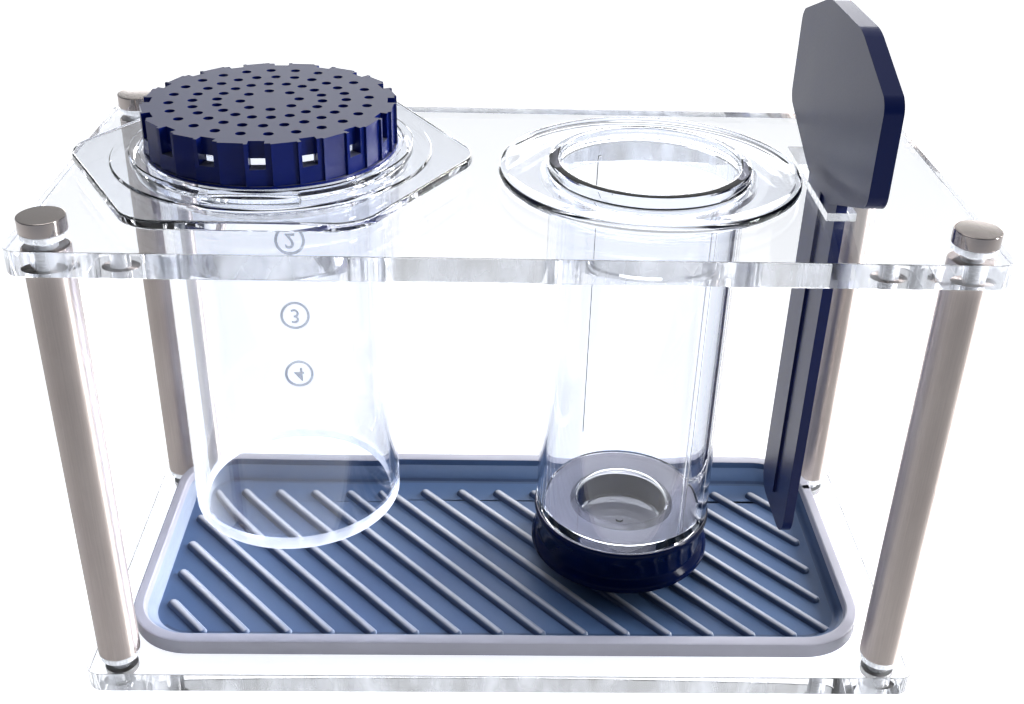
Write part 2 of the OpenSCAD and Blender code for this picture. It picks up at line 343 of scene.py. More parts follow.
sheet = clear_finish("clear_acrylic", (0.962, 0.974, 1.0), 0.012, 0.05, 60)
# the sheet's cut edges carry a painted glow in streaks: painted light along
# the edges
sheet_edge_glow_finish = clear_finish("sheet_edge_painted_glow", (0.962, 0.974, 1.0), 0.012,
                          0.05, 60, (0.9, 0.93, 1.0), 0.17)
plate_low, plate_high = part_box("base_plate")
plate_x, plate_y = (plate_high.x / MM, plate_high.y / MM)
corner_r, edge_round, stud_hole_r = 5, 0.35, 3.2
post_x, post_y = 117.3, 47.9
post_spots = {"front_left": (-1, -1), "front_right": (1, -1),
              "back_left": (-1, 1), "back_right": (1, 1)}


def acrylic_plate(name, low, high):
    """The sheet with rounded rims and its four stud holes."""
    piece = stacked(name, (0, 0), [
        (plate_x - edge_round, plate_y - edge_round, corner_r - edge_round,
         low),
        (plate_x - 0.1, plate_y - 0.1, corner_r - 0.1, low + 0.1),
        (plate_x, plate_y, corner_r, low + edge_round),
        (plate_x, plate_y, corner_r, high - edge_round),
        (plate_x - 0.1, plate_y - 0.1, corner_r - 0.1, high - 0.1),
        (plate_x - edge_round, plate_y - edge_round, corner_r - edge_round,
         high)])
    return piece, [drill("stud_hole", sx * post_x, sy * post_y, low - 1,
                         high + 1, stud_hole_r)
                   for sx, sy in post_spots.values()]


def finish_edges(piece):
    """Gives the walls of the sheet and of its holes the edge finish, clear
    plastic with a painted glow in streaks.
    """
    piece.data.materials.append(sheet_edge_glow_finish)
    for face in piece.data.polygons:
        face.material_index = 0 if abs(face.normal.z) > 0.5 else 1


base_plate, holes = acrylic_plate("base_plate_sheet", plate_low.z / MM,
                                  plate_high.z / MM)
carve(base_plate, gather(*holes))
settle(base_plate, "stand", "clear_plate", sheet, "base_plate")
finish_edges(base_plate)


# ------------------------------------------------------------- top plate
# The same sheet with two round holes that the chamber and the plunger hang
# in, and a long slot with square ends for the stirrer's blade.
top_low, top_high = (corner.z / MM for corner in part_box("top_plate"))
chamber_x, plunger_x = -67.1, 39.6
chamber_hole_r, plunger_hole_r = 34.5, 31.0
slot_x, slot_half_w, slot_half_l = 89.1, 4.0, 25.6
top_plate, holes = acrylic_plate("top_plate_sheet", top_low, top_high)
holes.append(drill("chamber_hole", chamber_x, 0, top_low - 1, top_high + 1,
                   chamber_hole_r, 128))
holes.append(drill("plunger_hole", plunger_x, 0, top_low - 1, top_high + 1,
                   plunger_hole_r, 128))
bpy.ops.mesh.primitive_cube_add(
    size=1, location=(slot_x * MM, 0, (top_low + top_high) / 2 * MM),
    scale=(2 * slot_half_w * MM, 2 * slot_half_l * MM, 9 * MM))
holes.append(bpy.context.object)
carve(top_plate, gather(*holes))
settle(top_plate, "stand", "clear_plate", sheet, "top_plate")
finish_edges(top_plate)


# ----------------------------------------------------------------- posts
# Round stainless bar, 12.4 mm across, brushed along its length, with both
# ends faced, chamfered and tapped for the studs and screws.
def turned(name, x, y, outline, steps=96):
    """A turned solid; outline: radius and height in mm, all the way round
    the section, or from the axis to the axis."""
    bpy.ops.object.select_all(action="DESELECT")
    bpy.ops.mesh.primitive_plane_add(size=0.002)
    piece = bpy.context.object
    piece.name = piece.data.name = name
    bpy.context.tool_settings.mesh_select_mode = (True, False, False)
    bpy.ops.object.mode_set(mode="EDIT")
    bpy.ops.mesh.select_all(action="SELECT")
    bpy.ops.mesh.merge(type="CENTER")
    trail = [Vector((x + r, y, z)) * MM for r, z in outline]
    if outline[0][0] or outline[-1][0]:
        trail.append(trail[0])
    bpy.ops.transform.translate(value=trail[0])
    for here, there in zip(trail, trail[1:]):
        bpy.ops.mesh.extrude_vertices_move(
            TRANSFORM_OT_translate={"value": there - here})
    bpy.ops.mesh.select_all(action="SELECT")
    bpy.ops.mesh.remove_doubles(threshold=1e-6)
    bpy.ops.mesh.select_all(action="SELECT")
    bpy.ops.mesh.spin(steps=steps, angle=math.tau, use_auto_merge=False,
                      center=(x * MM, y * MM, 0), axis=(0, 0, 1))
    bpy.ops.mesh.select_all(action="SELECT")
    bpy.ops.mesh.remove_doubles(threshold=1e-6)
    bpy.ops.mesh.normals_make_consistent(inside=False)
    bpy.ops.object.mode_set(mode="OBJECT")
    return piece


def copied(piece, name, x, y):
    """A copy with its own mesh, moved by x and y in mm."""
    twin = piece.copy()
    twin.data = piece.data.copy()
    twin.name = twin.data.name = name
    twin.data.transform(Matrix.Translation((x * MM, y * MM, 0)))
    bpy.context.scene.collection.objects.link(twin)
    return twin


def at_each_post(model, name, body, slot, finish, nodes):
    """The piece modelled on the Z axis, one copy on each post's axis."""
    for spot, (sx, sy) in post_spots.items():
        twin = copied(model, f"{name}_{spot}", sx * post_x, sy * post_y)
        settle(twin, body, slot, finish, nodes.format(spot))
    bpy.data.objects.remove(model)


def steel_finish(name, dark, light, roughness, stretch, grain, spread=0.0):
    """Steel: fine scratches and slow cloudy stains. spread draws its
    highlights out along the bar, as the grinding marks round it do."""
    made, pen = open_finish(name)
    scratches = pen.noise(grain, 4, stretch)
    stains = pen.noise(70, 3, (1, 1, 0.45))
    shade = (scratches * 0.45 + stains * 0.6).blend(dark, light)
    bumps = pen.node("Bump", None, {"Height": scratches, "Strength": 0.25,
                                    "Distance": 0.00006})
    return close_finish(made, pen.node("BsdfPrincipled", None, {
        "Base Color": shade, "Metallic": 1.0, "Anisotropic": spread,
        "Anisotropic Rotation": 0.25,
        "Roughness": scratches * 0.16 + stains * 0.08 + roughness,
        "Normal": bumps}))


post_low, post_high = (corner.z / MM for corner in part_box("post_front_left"))
post_r, tapped_r, tapped_depth = 6.2, 3.0, 12
post_model = turned("post_bar", 0, 0, [
    (0, post_low + tapped_depth + 1), (tapped_r, post_low + tapped_depth),
    (tapped_r, post_low + 0.2), (tapped_r + 0.2, post_low),
    (post_r - 0.4, post_low), (post_r, post_low + 0.4),
    (post_r, post_high - 0.4), (post_r - 0.4, post_high),
    (tapped_r + 0.2, post_high), (tapped_r, post_high - 0.2),
    (tapped_r, post_high - tapped_depth),
    (0, post_high - tapped_depth - 1)])
post_finish = steel_finish("brushed_post_steel",
                           grey(0.31, (1.14, 0.96, 0.92)),
                           grey(0.76, (1.08, 0.97, 0.9)), 0.38,
                           (1, 1, 0.02), 2600, 0.95)
at_each_post(post_model, "post_bar", "stand", "post_steel", post_finish,
             "post_{}")


# ------------------------------------------------------------------ caps
# Turned stainless caps that screw down on the studs: polished side, satin
# faced top with fine turning rings, and a small bevel round both rims.
cap_low, cap_high = (corner.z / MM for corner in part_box("cap_front_left"))
post_cap_r, cap_skin = 6.1, 1.4
cap_model = turned("post_cap", 0, 0, [
    (0, cap_high - cap_skin), (tapped_r, cap_high - cap_skin),
    (tapped_r, cap_low), (post_cap_r - 0.3, cap_low),
    (post_cap_r, cap_low + 0.3), (post_cap_r, cap_high - 0.4),
    (post_cap_r - 0.12, cap_high - 0.14), (post_cap_r - 0.4, cap_high),
    (0, cap_high)])
made, pen = open_finish("turned_cap_steel")
facing = pen.node("SeparateXYZ", None, {"Vector": pen.node(
    "NewGeometry", out="Normal")}, "Z")
rings = pen.noise(1800, 2, (1, 1, 1))
top_mask = pen.node("ValToRGB", {"stops": [(0.5, grey(0)), (0.8, grey(1))]},
                    {"Fac": facing})
stains = pen.noise(110, 3)
shade = (top_mask * 0.3 + stains * 0.6).blend(
    grey(0.24, (1.08, 0.96, 0.95)), grey(0.44, (1.08, 0.97, 0.9)))
cap_finish = close_finish(made, pen.node("BsdfPrincipled", None, {
    "Base Color": shade, "Metallic": 1.0,
    "Roughness": top_mask * 0.1 + rings * 0.06 + 0.08,
    "Normal": pen.node("Bump", None, {"Height": rings, "Strength": 0.2,
                                      "Distance": 0.00003})}))
at_each_post(cap_model, "post_cap", "stand", "cap_steel", cap_finish,
             "cap_{}")


# ----------------------------------------------------------------- studs
# Plain steel threaded studs, 1 mm pitch, from each cap through the top
# plate's hole and down into the post.
def threaded(radius, low, high, pitch=1.0, depth=0.55):
    """Outline points of a thread's crests and roots."""
    points, height = [], low
    while height + pitch < high:
        points += [(radius - depth, height + 0.1 * pitch),
                   (radius, height + 0.45 * pitch),
                   (radius, height + 0.6 * pitch)]
        height += pitch
    return points


stud_low, stud_high = (corner.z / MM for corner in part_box("cap_studs"))
thread_r = 2.9
stud_model = turned("cap_stud", 0, 0, [(0, stud_low), (2.2, stud_low)]
                    + threaded(thread_r, stud_low, stud_high)
                    + [(2.3, stud_high), (0, stud_high)], 32)
thread_finish = steel_finish("thread_steel", grey(0.16, (1, 0.98, 0.98)),
                             grey(0.5, (1, 0.98, 0.96)), 0.26, (1, 1, 0.3),
                             1400)
at_each_post(stud_model, "cap_stud", "stand", "stud_steel", thread_finish,
             "cap_studs")


# --------------------------------------------------------------- washers
# Soft clear washers, punched from sheet, above the top plate under each
# cap and below each post on the base plate.
# the washers' plastic is mostly a painted glow in streaks, painted light that
# brightens them
washer_finish = clear_finish("clear_washer_painted_glow", (0.95, 0.965, 0.98),
                             0.1, 0.15, 240, (0.88, 0.9, 0.94), 0.55)
washer_bore_r = 3.25
for level, outer_r in (("upper", 5.9), ("lower", 6.1)):
    low, high = (corner.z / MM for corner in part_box(level + "_washers"))
    middle = (low + high) / 2
    washer_model = turned(level + "_washer", 0, 0, [
        (washer_bore_r, low + 0.02), (outer_r - 0.5, low + 0.02),
        (outer_r - 0.12, low + 0.25), (outer_r, middle),
        (outer_r - 0.12, high - 0.25), (outer_r - 0.5, high - 0.02),
        (washer_bore_r, high - 0.02)], 64)
    at_each_post(washer_model, level + "_washer", "stand", "clear_washer",
                 washer_finish, level + "_washers")


# ----------------------------------------------------------- base screws
# Low-headed socket screws, up through the base plate into the posts; the
# stand rests on their heads.
screw_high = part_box("base_screws")[1].z / MM
head_r, head_h = 5, 2.2
screw_model = turned("base_screw", 0, 0, [
    (0, 0), (head_r - 0.5, 0), (head_r - 0.12, 0.12), (head_r, 0.5),
    (head_r, head_h - 0.15), (head_r - 0.15, head_h), (2.3, head_h)]
    + threaded(thread_r, head_h, screw_high)
    + [(2.2, screw_high), (0, screw_high)], 48)
carve(screw_model, drill("socket", 0, 0, -1, 1.5, 2.3, 6))
at_each_post(screw_model, "base_screw", "stand", "stud_steel",
             thread_finish, "base_screws")


# --------------------------------------------------------------- chamber
# Clear moulded chamber, stored mouth down: a straight tube, a neck ring, a
# six-sided flange with round corners, a stepped collar and the spigot.
clear_plastic = clear_finish("clear_moulded_plastic", (0.935, 0.955, 1.0),
                             0.02, 0.16, 45)
end_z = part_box("chamber")[0].z / MM
tube_r, bore_r, rim_z = 32.85, 30.2, end_z + 3.4
neck_r, neck_z = 38.0, 149.2
flange_z, flange_top, flange_disc_r = 152.2, 155.5, 44.6
collar_r, collar_bore_r, collar_top = 39.3, 36.4, 157.7
spigot_r, spigot_bore_r, spigot_top = 29.2, 27.2, 166.0
chamber_tube = turned("chamber_body", chamber_x, 0, [
    (bore_r + 0.15, end_z), (tube_r - 0.55, end_z),
    (tube_r - 0.15, end_z + 0.15), (tube_r, end_z + 0.6), (tube_r, rim_z),
    (tube_r - 0.05, neck_z - 0.1), (tube_r + 0.25, neck_z),
    (neck_r - 0.4, neck_z), (neck_r, neck_z + 0.4), (neck_r, flange_z),
    (flange_disc_r, flange_z), (flange_disc_r, flange_top - 0.4),
    (flange_disc_r - 0.4, flange_top), (collar_r, flange_top),
    (collar_r, collar_top - 0.3), (collar_r - 0.3, collar_top),
    (collar_bore_r + 0.3, collar_top), (collar_bore_r, collar_top - 0.3),
    (collar_bore_r, flange_top), (spigot_r + 0.4, flange_top),
    (spigot_r, flange_top + 0.4), (spigot_r, spigot_top - 0.4),
    (spigot_r - 0.4, spigot_top), (spigot_bore_r + 0.4, spigot_top),
    (spigot_bore_r, spigot_top - 0.4), (spigot_bore_r, flange_z + 0.4),
    (spigot_bore_r + 0.4, flange_z - 0.2), (bore_r - 0.6, flange_z - 0.4),
    (bore_r, flange_z - 1.0), (bore_r, rim_z), (bore_r, end_z + 0.8)], 144)

# the six-sided flange, its corners rounded to 12 mm, welded to the tube
flange_corner_r, flange_flat, flange_h = 12, 44.2, 2.7
bpy.ops.object.select_all(action="DESELECT")
bpy.ops.mesh.primitive_cylinder_add(
    vertices=6, depth=flange_h * MM,
    radius=(flange_flat + flange_corner_r / math.cos(math.pi / 6)) * MM,
    location=(chamber_x * MM, 0, 153.35 * MM), rotation=(0, 0, math.pi / 2))
flange = bpy.context.object
bpy.ops.object.transform_apply()


def pick(piece, kind, test):
    """Selects the edges or faces whose corner points pass the test."""
    take(piece)
    mesh = piece.data
    for group in (mesh.vertices, mesh.edges, mesh.polygons):
        group.foreach_set("select", [False] * len(group))
    for part in getattr(mesh, kind):
        part.select = test([mesh.vertices[i].co for i in part.vertices])
    bpy.context.tool_settings.mesh_select_mode = (
        False, kind == "edges", kind == "polygons")
    bpy.ops.object.mode_set(mode="EDIT")


pick(flange, "edges", lambda ends: abs(ends[0].z - ends[1].z) > MM)
bpy.ops.mesh.bevel(offset=flange_corner_r * MM * math.tan(math.pi / 6),
                   segments=14)
bpy.ops.object.mode_set(mode="OBJECT")
soften(flange, 0.6, 3, 60)
carve(flange, drill("flange_bore", chamber_x, 0, 150, 160, 41, 144))
carve(chamber_tube, flange, "UNION")

# the low stop tab in front of the cap
bpy.ops.mesh.primitive_cube_add(
    size=1, location=(chamber_x * MM, -39.6 * MM, 156.4 * MM),
    scale=(26 * MM, 3.6 * MM, 3.4 * MM))
tab = bpy.context.object
bpy.ops.object.transform_apply()
soften(tab, 0.7)
carve(chamber_tube, tab, "UNION")
settle(chamber_tube, "chamber", "clear_plastic", clear_plastic, "chamber")
# the mouth rim, below rim_z, gets a painted glow in streaks: a painted bright
# band
chamber_tube.data.materials.append(clear_finish(
    "mouth_rim_painted_glow", (0.955, 0.967, 1.0), 0.02, 0.05, 30,
    (0.86, 0.9, 1.0), 0.6))
for face in chamber_tube.data.polygons:
    if face.center.z < rim_z * MM:
        face.material_index = 1


# ---------------------------------------------------------- level marks
# Level numbers 2, 3 and 4, each in a ring, printed grey on the outside of
# the tube's back wall, so they stand on their heads while it hangs.
made, pen = open_finish("grey_print")
print_finish = close_finish(made, pen.node("BsdfPrincipled", None, {
    "Base Color": pen.noise(900, 3).blend(grey(0.64, (0.98, 0.99, 1.01)),
                                          grey(0.72, (0.98, 0.99, 1.01))),
    "Roughness": pen.noise(500) * 0.2 + 0.5}))
print_turn, ring_r, ring_bore_r = math.radians(95), 5.2, 4.2
for number, height in (("2", 107.9), ("3", 85.0), ("4", 62.5)):
    bpy.ops.object.select_all(action="DESELECT")
    bpy.ops.object.text_add()
    figure = bpy.context.object
    figure.data.body, figure.data.size = number, 7.4 * MM
    figure.data.align_x, figure.data.align_y = "CENTER", "CENTER"
    figure.data.extrude, figure.data.offset = 0.04 * MM, 0.1 * MM
    figure.data.resolution_u = 24
    bpy.ops.object.convert(target="MESH")
    figure = bpy.context.object
    bpy.ops.mesh.primitive_cylinder_add(vertices=64, radius=ring_r * MM,
                                        depth=0.08 * MM)
    ring = bpy.context.object
    carve(ring, drill("ring_bore", 0, 0, -1, 1, ring_bore_r, 64))
    mark = gather(ring, figure)
    mark.name = mark.data.name = "level_mark_" + number
    bpy.ops.object.mode_set(mode="EDIT")
    bpy.ops.mesh.select_all(action="SELECT")
    bpy.ops.mesh.remove_doubles(threshold=1e-6)
    bpy.ops.object.mode_set(mode="OBJECT")
    for spot in mark.data.vertices:
        across, up, out = spot.co / MM
        radius = tube_r + 0.05 + out
        turn = print_turn - across / tube_r
        spot.co = Vector((chamber_x + radius * math.cos(turn),
                          radius * math.sin(turn), height - up)) * MM
    bpy.ops.object.mode_set(mode="EDIT")
    bpy.ops.mesh.select_all(action="SELECT")
    bpy.ops.mesh.normals_make_consistent(inside=False)
    bpy.ops.object.mode_set(mode="OBJECT")
    settle(mark, "chamber", "clear_plastic", print_finish, weigh=False)


# ------------------------------------------------------------ filter cap
# Dark moulded cap: a drilled disc with a skirt of 32 slanted teeth, 16
# notches with a small window each, and a thin lip round the foot.
cap_foot, cap_top = (corner.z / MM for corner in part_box("filter_cap"))
teeth, tooth_start, tooth_fall = 32, -81.0, 0.7
cap_r = 35.0
bpy.ops.object.select_all(action="DESELECT")
bpy.ops.mesh.primitive_cylinder_add(
    vertices=2 * teeth, radius=cap_r * MM,
    depth=(cap_top - cap_foot - 0.3) * MM,
    location=(chamber_x * MM, 0, (cap_top + cap_foot + 0.3) / 2 * MM))
filter_cap = bpy.context.object
filter_cap.name = filter_cap.data.name = "filter_cap_shell"
bpy.ops.object.transform_apply()
rim_turns = sorted({round(math.atan2(spot.co.y, spot.co.x
                                     - chamber_x * MM), 4)
                    for spot in filter_cap.data.vertices})
for spot in filter_cap.data.vertices:
    place = rim_turns.index(round(math.atan2(
        spot.co.y, spot.co.x - chamber_x * MM), 4))
    tooth, low_end = divmod(place, 2)
    turn = math.radians(tooth_start + tooth * 360 / teeth
                        + (360 / teeth - 0.15 if low_end else 0))
    radius = cap_r - (tooth_fall if low_end else 0)
    spot.co.x = (chamber_x + radius * math.cos(turn)) * MM
    spot.co.y = radius * math.sin(turn) * MM
carve(filter_cap, drill("skirt_bore", chamber_x, 0, cap_foot - 1,
                        cap_top - 2.6, 31.0, 96))


def block(name, middle, size, turn=0):
    """A plain block: middle and size in mm, turned about its upright."""
    bpy.ops.object.select_all(action="DESELECT")
    bpy.ops.mesh.primitive_cube_add(
        size=1, location=Vector(middle) * MM, rotation=(0, 0, turn),
        scale=Vector(size) * MM)
    bpy.ops.object.transform_apply()
    bpy.context.object.name = name
    return bpy.context.object


# the notches, the windows through their backs, then the filter holes
for reach, depth, width, low, high in (
        (cap_r - 0.1, 5.0, 4.2, cap_top - 7, cap_top + 1),
        (cap_r - 2.7, 5.2, 4.1, cap_top - 6.95, cap_top - 4.7)):
    cutters = []
    for notch in range(16):
        turn = math.radians(-87.2 + notch * 22.5)
        cutters.append(block("notch", (chamber_x + reach * math.cos(turn),
                                       reach * math.sin(turn),
                                       (low + high) / 2),
                             (depth, width, high - low), turn))
    carve(filter_cap, gather(*cutters))
cutters = []
for ring_r, count, start in ((8, 8, 10), (14.5, 18, 0), (21, 24, 4),
                             (27.3, 24, 8)):
    for hole in range(count):
        turn = math.radians(start + hole * 360 / count)
        cutters.append(drill("filter_hole",
                             chamber_x + ring_r * math.cos(turn),
                             ring_r * math.sin(turn), cap_top - 4,
                             cap_top + 1, 1.375, 20))
carve(filter_cap, gather(*cutters))
lip = turned("cap_lip", chamber_x, 0, [
    (31.25, cap_foot), (35.1, cap_foot), (35.25, cap_foot + 0.4),
    (35.05, cap_foot + 0.9), (31.25, cap_foot + 0.9)], 128)
carve(filter_cap, lip, "UNION")
soften(filter_cap, 0.12, 2, 30)
made, pen = open_finish("dark_cap_plastic")
facing = pen.node("SeparateXYZ", None, {"Vector": pen.node(
    "NewGeometry", out="Normal")}, "Z")
top_mask = pen.node("ValToRGB", {"stops": [(0.55, grey(0)),
                                           (0.9, grey(1))]},
                    {"Fac": facing})
mottle = pen.noise(1500, 3)
shade = (mottle * 0.2 + pen.noise(90) * 0.8).blend(
    grey(0.006, (0.2, 1.1, 15)), grey(0.013, (0.4, 1.05, 10)))
# painted light: the faces that look up are painted pale blue-grey; their
# higher roughness is the real finish
cap_shade_painted_top_light = (top_mask * (mottle * 0.2 + 0.85)).blend(
    shade, grey(0.11, (0.88, 0.93, 1.4)))
cap_plastic = close_finish(made, pen.node("BsdfPrincipled", None, {
    "Base Color": cap_shade_painted_top_light, "Specular IOR Level": 0.18, "IOR": 1.45,
    "Roughness": top_mask * 0.3 + mottle * 0.06 + 0.2,
    "Normal": pen.node("Bump", None, {
        "Height": mottle, "Strength": 0.03, "Distance": 0.00005})}))
settle(filter_cap, "filter_cap", "cap_plastic", cap_plastic, "filter_cap",
       smooth=25)


# ---------------------------------------------------------- paper filter
# One thin white paper disc, laid inside the cap over the spigot's mouth.
paper_low, paper_high = (corner.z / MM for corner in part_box("paper_filter"))
paper = turned("paper_disc", chamber_x, 0, [
    (0, paper_low), (30.5, paper_low), (30.6, (paper_low + paper_high) / 2),
    (30.5, paper_high), (0, paper_high)], 96)
made, pen = open_finish("filter_paper")
fibres = pen.noise(2500, 4)
settle(paper, "filter_cap", "filter_paper", close_finish(made, pen.node(
    "BsdfPrincipled", None, {
        "Base Color": fibres.blend(grey(0.82, (1, 0.99, 0.95)), grey(0.9)),
        "Roughness": fibres * 0.1 + 0.85,
        "Normal": pen.node("Bump", None, {
            "Height": fibres, "Strength": 0.3, "Distance": 0.0001})})),
       "paper_filter")


# --------------------------------------------------------------- plunger
# Clear moulded plunger: a shallow dished flange with a bead round its rim,
# a raised collar, a straight tube and a floor with a round centre well.
seal_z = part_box("plunger_seal")[0].z / MM
floor_z = seal_z + 18
flange_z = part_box("plunger")[1].z / MM - 4.6
plunger = turned("plunger_body", plunger_x, 0, [
    (28.3, flange_z - 0.4), (28.8, flange_z), (42.4, flange_z),
    (43.0, flange_z + 0.4), (43.2, flange_z + 1.0), (43.1, flange_z + 1.8),
    (42.6, flange_z + 2.4), (42.0, flange_z + 2.5), (41.2, flange_z + 2.3),
    (38.0, flange_z + 1.7), (34.0, flange_z + 1.5), (30.0, flange_z + 1.5),
    (29.2, flange_z + 1.8), (28.9, flange_z + 2.4), (28.9, flange_z + 4.0),
    (28.6, flange_z + 4.45), (28.0, flange_z + 4.6), (26.5, flange_z + 4.6),
    (26.0, flange_z + 4.4), (25.8, flange_z + 3.9), (25.8, floor_z + 0.6),
    (25.2, floor_z), (15.6, floor_z), (15.2, floor_z + 0.35),
    (14.9, floor_z + 0.1), (14.7, floor_z - 0.4), (14.2, floor_z - 9.4),
    (13.6, floor_z - 10), (1.3, floor_z - 10), (1.1, floor_z - 9.4),
    (0, floor_z - 9.3), (0, seal_z + 5), (16.95, seal_z + 5),
    (16.95, floor_z - 2.5), (28.0, floor_z - 2.5), (28.3, floor_z - 2.2)],
    144)
for turn, width, foot in ((118, 1.2, 46), (-52, 1.6, floor_z - 0.5),
                          (-28, 1.2, floor_z - 0.5)):
    turn = math.radians(turn)
    bpy.ops.mesh.primitive_cube_add(
        size=1, rotation=(0, 0, turn),
        location=((plunger_x + 25.7 * math.cos(turn)) * MM,
                  25.7 * math.sin(turn) * MM, (foot + 146) / 2 * MM),
        scale=(1.0 * MM, width * MM, (146 - foot) * MM))
    rib = bpy.context.object
    bpy.ops.object.transform_apply()
    soften(rib, 0.25)
    carve(plunger, rib, "UNION")
settle(plunger, "plunger", "clear_plastic", clear_plastic, "plunger")


# ---------------------------------------------------------- plunger seal
# Moulded black rubber cup with a slight waist and two sealing lips,
# pressed over the plunger's hub.
lip_r, hub_r, high_z = 29.5, 17.0, floor_z - 2.6
seal = turned("plunger_seal_cup", plunger_x, 0, [
    (0, seal_z + 1.2), (hub_r - 3.4, seal_z + 1.2), (hub_r - 2.6, seal_z + 1),
    (hub_r - 0.8, seal_z + 0.1), (hub_r, seal_z), (lip_r - 1.2, seal_z),
    (lip_r - 0.4, seal_z + 0.2), (lip_r, seal_z + 0.8),
    (lip_r, seal_z + 1.6), (lip_r - 0.3, seal_z + 3.0),
    (lip_r - 1.5, seal_z + 4.2), (lip_r - 1.9, seal_z + 5.0),
    (lip_r - 1.8, high_z - 6), (lip_r - 1.3, high_z - 4),
    (lip_r - 0.8, high_z - 2.4), (lip_r - 0.6, high_z - 1.4),
    (lip_r - 0.7, high_z - 0.5), (lip_r - 1.1, high_z),
    (hub_r + 0.02, high_z), (hub_r + 0.02, seal_z + 4.95),
    (0, seal_z + 4.95)], 144)


def rubber(name, deep, pale, roughness, level):
    made, pen = open_finish(name)
    bloom = pen.noise(160, 3)
    return close_finish(made, pen.node("BsdfPrincipled", None, {
        "Base Color": bloom.blend(deep, pale), "IOR": 1.42,
        "Specular IOR Level": level, "Roughness": bloom * 0.12 + roughness,
        "Normal": pen.node("Bump", None, {
            "Height": pen.noise(1200), "Strength": 0.08,
            "Distance": 0.00005})}))


settle(seal, "plunger", "seal_rubber", rubber(
    "black_seal_rubber", grey(0.0028, (0.05, 0.9, 8.0)),
    grey(0.0048, (0.05, 0.9, 7.5)), 0.08, 0.1), "plunger_seal")
# painted light: the seal's faces that look up get a paler grey copy of the
# black rubber
seal.data.materials.append(rubber(
    "seal_rubber_painted_top_light", grey(0.12, (1.05, 0.95, 1.1)),
    grey(0.19, (1.03, 0.96, 1.07)), 0.4, 0.5))
for face in seal.data.polygons:
    reach = math.hypot(face.center.x / MM - plunger_x, face.center.y / MM)
    if face.normal.z > 0.7 and reach < lip_r - 1.1:
        face.material_index = 1


# --------------------------------------------------------------- stirrer
# One-piece dark plastic stirrer: a wide eight-sided handle that rests on
# the top plate, and a flat blade with a thin mid rib, down through the slot.
handle_low, handle_high = 149.2, 198.2
handle_x, blade_x, stirrer_y = 89.2, 89.5, -7.9
outline = [(-12, handle_low), (12, handle_low), (43.5, handle_low + 12),
           (43.5, handle_high - 10), (16, handle_high), (-16, handle_high),
           (-43.5, handle_high - 10), (-43.5, handle_low + 12)]
bpy.ops.object.select_all(action="DESELECT")
bpy.ops.mesh.primitive_cylinder_add(vertices=8, radius=0.04,
                                    depth=5.0 * MM)
stirrer = bpy.context.object
stirrer.name = stirrer.data.name = "stirrer_paddle"
turns = sorted({round(math.atan2(s.co.y, s.co.x), 3)
                for s in stirrer.data.vertices})
for spot in stirrer.data.vertices:
    across, height = outline[turns.index(round(math.atan2(
        spot.co.y, spot.co.x), 3))]
    spot.co = Vector((handle_x * MM + spot.co.z,
                      (stirrer_y + across) * MM, height * MM))
pick(stirrer, "edges", lambda ends: abs(ends[0].x - ends[1].x) > MM)
bpy.ops.mesh.bevel(offset=3.2 * MM, segments=6)
bpy.ops.object.mode_set(mode="OBJECT")
pick(stirrer, "polygons", lambda ends: True)
bpy.ops.mesh.normals_make_consistent(inside=False)
bpy.ops.object.mode_set(mode="OBJECT")
blade_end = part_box("stirrer")[0].z / MM
bpy.ops.object.select_all(action="DESELECT")
bpy.ops.mesh.primitive_cube_add(
    size=1, location=(blade_x * MM, stirrer_y * MM,
                      (blade_end + 154) / 2 * MM),
    scale=(3 * MM, 31.2 * MM, (154 - blade_end) * MM))
blade = bpy.context.object
bpy.ops.object.transform_apply()
pick(blade, "edges", lambda ends: abs(ends[0].x - ends[1].x) > MM
     and ends[0].z < 0.1)
bpy.ops.mesh.bevel(offset=7 * MM, segments=10)
bpy.ops.object.mode_set(mode="OBJECT")
bpy.ops.mesh.primitive_cube_add(
    size=1, location=(blade_x * MM, stirrer_y * MM,
                      (blade_end + 8 + 153) / 2 * MM),
    scale=(4.6 * MM, 3 * MM, (145 - blade_end) * MM))
rib = bpy.context.object
bpy.ops.object.transform_apply()
carve(blade, rib, "UNION")
carve(stirrer, blade, "UNION")
soften(stirrer, 0.7, 3, 35)
made, pen = open_finish("slate_stirrer_plastic")
cloud = pen.noise(35, 2)
specks = pen.noise(2200, 2)
settle(stirrer, "stirrer", "stirrer_plastic", close_finish(made, pen.node(
    "BsdfPrincipled", None, {
        "Base Color": cloud.blend(grey(0.005, (0.15, 1.0, 9)),
                                  grey(0.010, (0.4, 1.0, 7))),
        "Roughness": specks * 0.08 + cloud * 0.08 + 0.24, "IOR": 1.4,
        "Specular IOR Level": 0.24,
        "Normal": pen.node("Bump", None, {
            "Height": specks, "Strength": 0.06, "Distance": 0.00005})})),
       "stirrer")


# ------------------------------------------------------------- drip tray
# Soft grey silicone tray, moulded in one piece: a round-edged band on an
# inset foot, stepped inner walls and slanted round ridges on its floor.
tray_x, tray_l, tray_w, tray_r = -1.5, 114.7, 50.5, 20
tray_foot, tray_top = (corner.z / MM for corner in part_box("drip_tray"))
tray_floor = tray_foot + 1.0


def tray_ring(in_x, in_y, height):
    return (tray_l - in_x, tray_w - in_y,
            max(tray_r - (in_x + in_y) / 2, 4), height)


